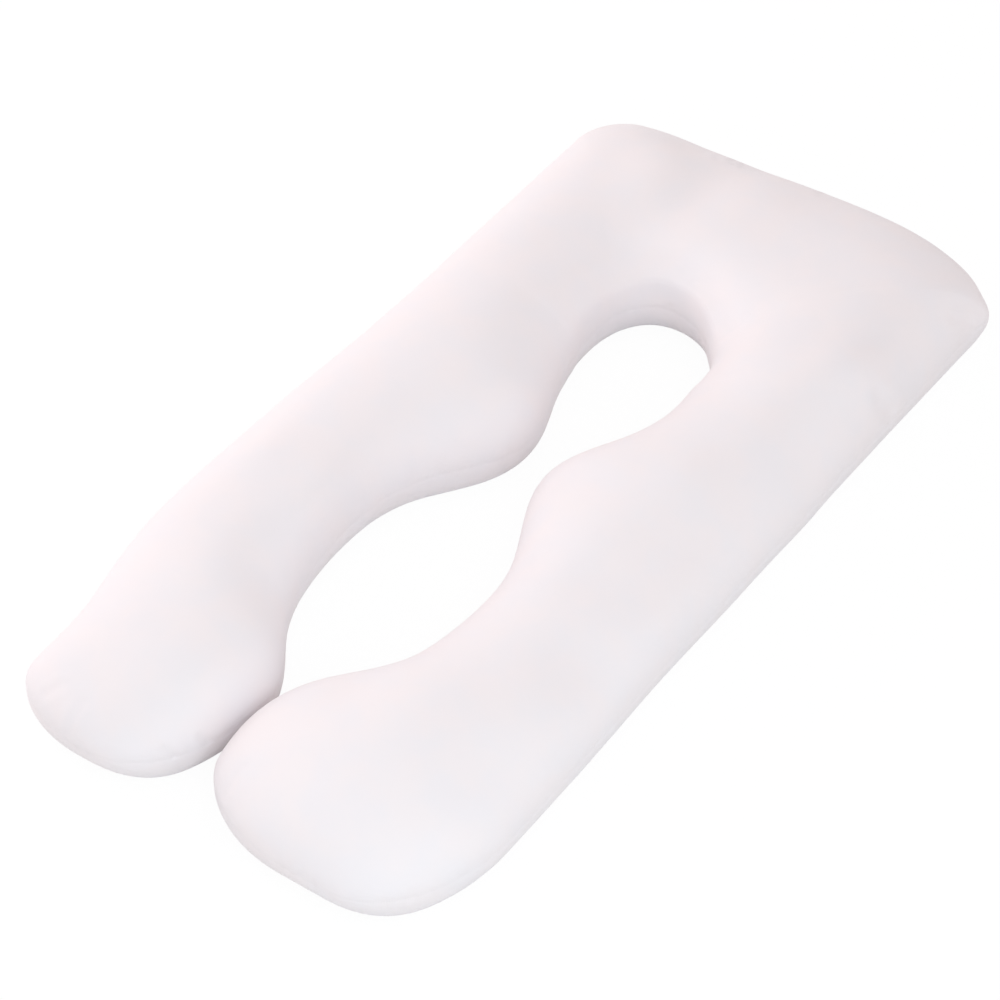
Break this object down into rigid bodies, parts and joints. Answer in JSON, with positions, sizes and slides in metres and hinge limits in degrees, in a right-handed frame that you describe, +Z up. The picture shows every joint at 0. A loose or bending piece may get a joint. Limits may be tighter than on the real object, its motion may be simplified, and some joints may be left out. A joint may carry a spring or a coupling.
{
  "type": "u-shaped pregnancy pillow",
  "caption": "U-shaped filled body pillow with a closed head end, two long legs and a keyhole gap between them, lying flat.",
  "frame": {"origin": "centre of the bounding box in plan, on the surface that the pillow lies on", "axes": "+Y from the feet to the closed head end, +X to the leg with the wider foot, +Z up through the thickness"},
  "size_m": [0.6878, 1.4, 0.1638],
  "materials": {
    "cover": "smooth matt white cloth with a faint pink cast"
  },
  "bodies": {
    "root": {"pillow": "cover"}
  },
  "joints": []
}
